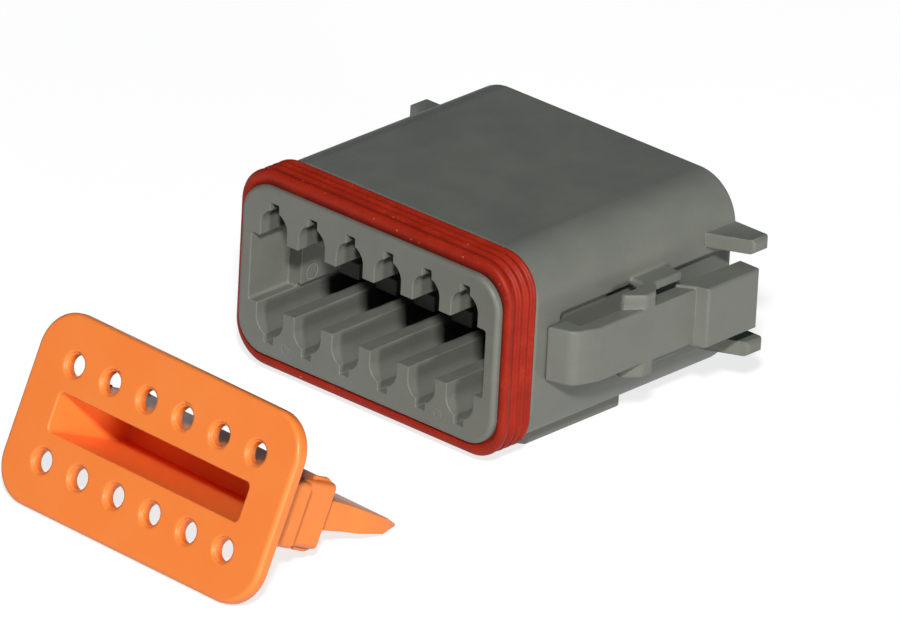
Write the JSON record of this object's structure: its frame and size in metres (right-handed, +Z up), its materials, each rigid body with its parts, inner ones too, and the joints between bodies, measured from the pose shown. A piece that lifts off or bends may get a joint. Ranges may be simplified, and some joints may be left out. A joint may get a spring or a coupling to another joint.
{
  "type": "sealed automotive connector",
  "caption": "Sealed rectangular connector plug with a perimeter interface seal, rocking side latches and rows of keyed contact cavities, its wedge lock lying in front.",
  "frame": {"origin": "centre of the plug's nose face, on the mating axis", "axes": "+X along the rows of cavities, +Y into the plug from its mating face to its wire side, +Z up, keying rails below"},
  "size_m": [0.0386, 0.0623, 0.0181],
  "materials": {
    "housing": "grey moulded thermoplastic, satin",
    "seal": "red silicone, dusty satin",
    "wedge": "orange moulded thermoplastic, satin"
  },
  "bodies": {
    "plug": {"plug_housing": "housing", "interface_seal": "seal", "wire_seal": "seal"},
    "latch_right": {"latch_right": "housing"},
    "latch_left": {"latch_left": "housing"},
    "wedge_lock": {"wedge_lock": "wedge"}
  },
  "joints": [
    {"name": "latch_right_rock", "type": "hinge", "parent": "plug", "child": "latch_right", "pos_m": [0.0171, 0.0137, 0], "axis": [0, 0, 1], "range_deg": [0, 10], "stiffness_Nm_per_rad": 0.02, "springref_deg": -2.86},
    {"name": "latch_left_rock", "type": "hinge", "parent": "plug", "child": "latch_left", "pos_m": [-0.0171, 0.0137, 0], "axis": [0, 0, -1], "range_deg": [0, 10], "stiffness_Nm_per_rad": 0.02, "springref_deg": -2.86},
    {"name": "wedge_lift", "type": "slide", "parent": "plug", "child": "wedge_lock", "axis": [0, 0, 1], "range_m": [0, 0.025]}
  ]
}
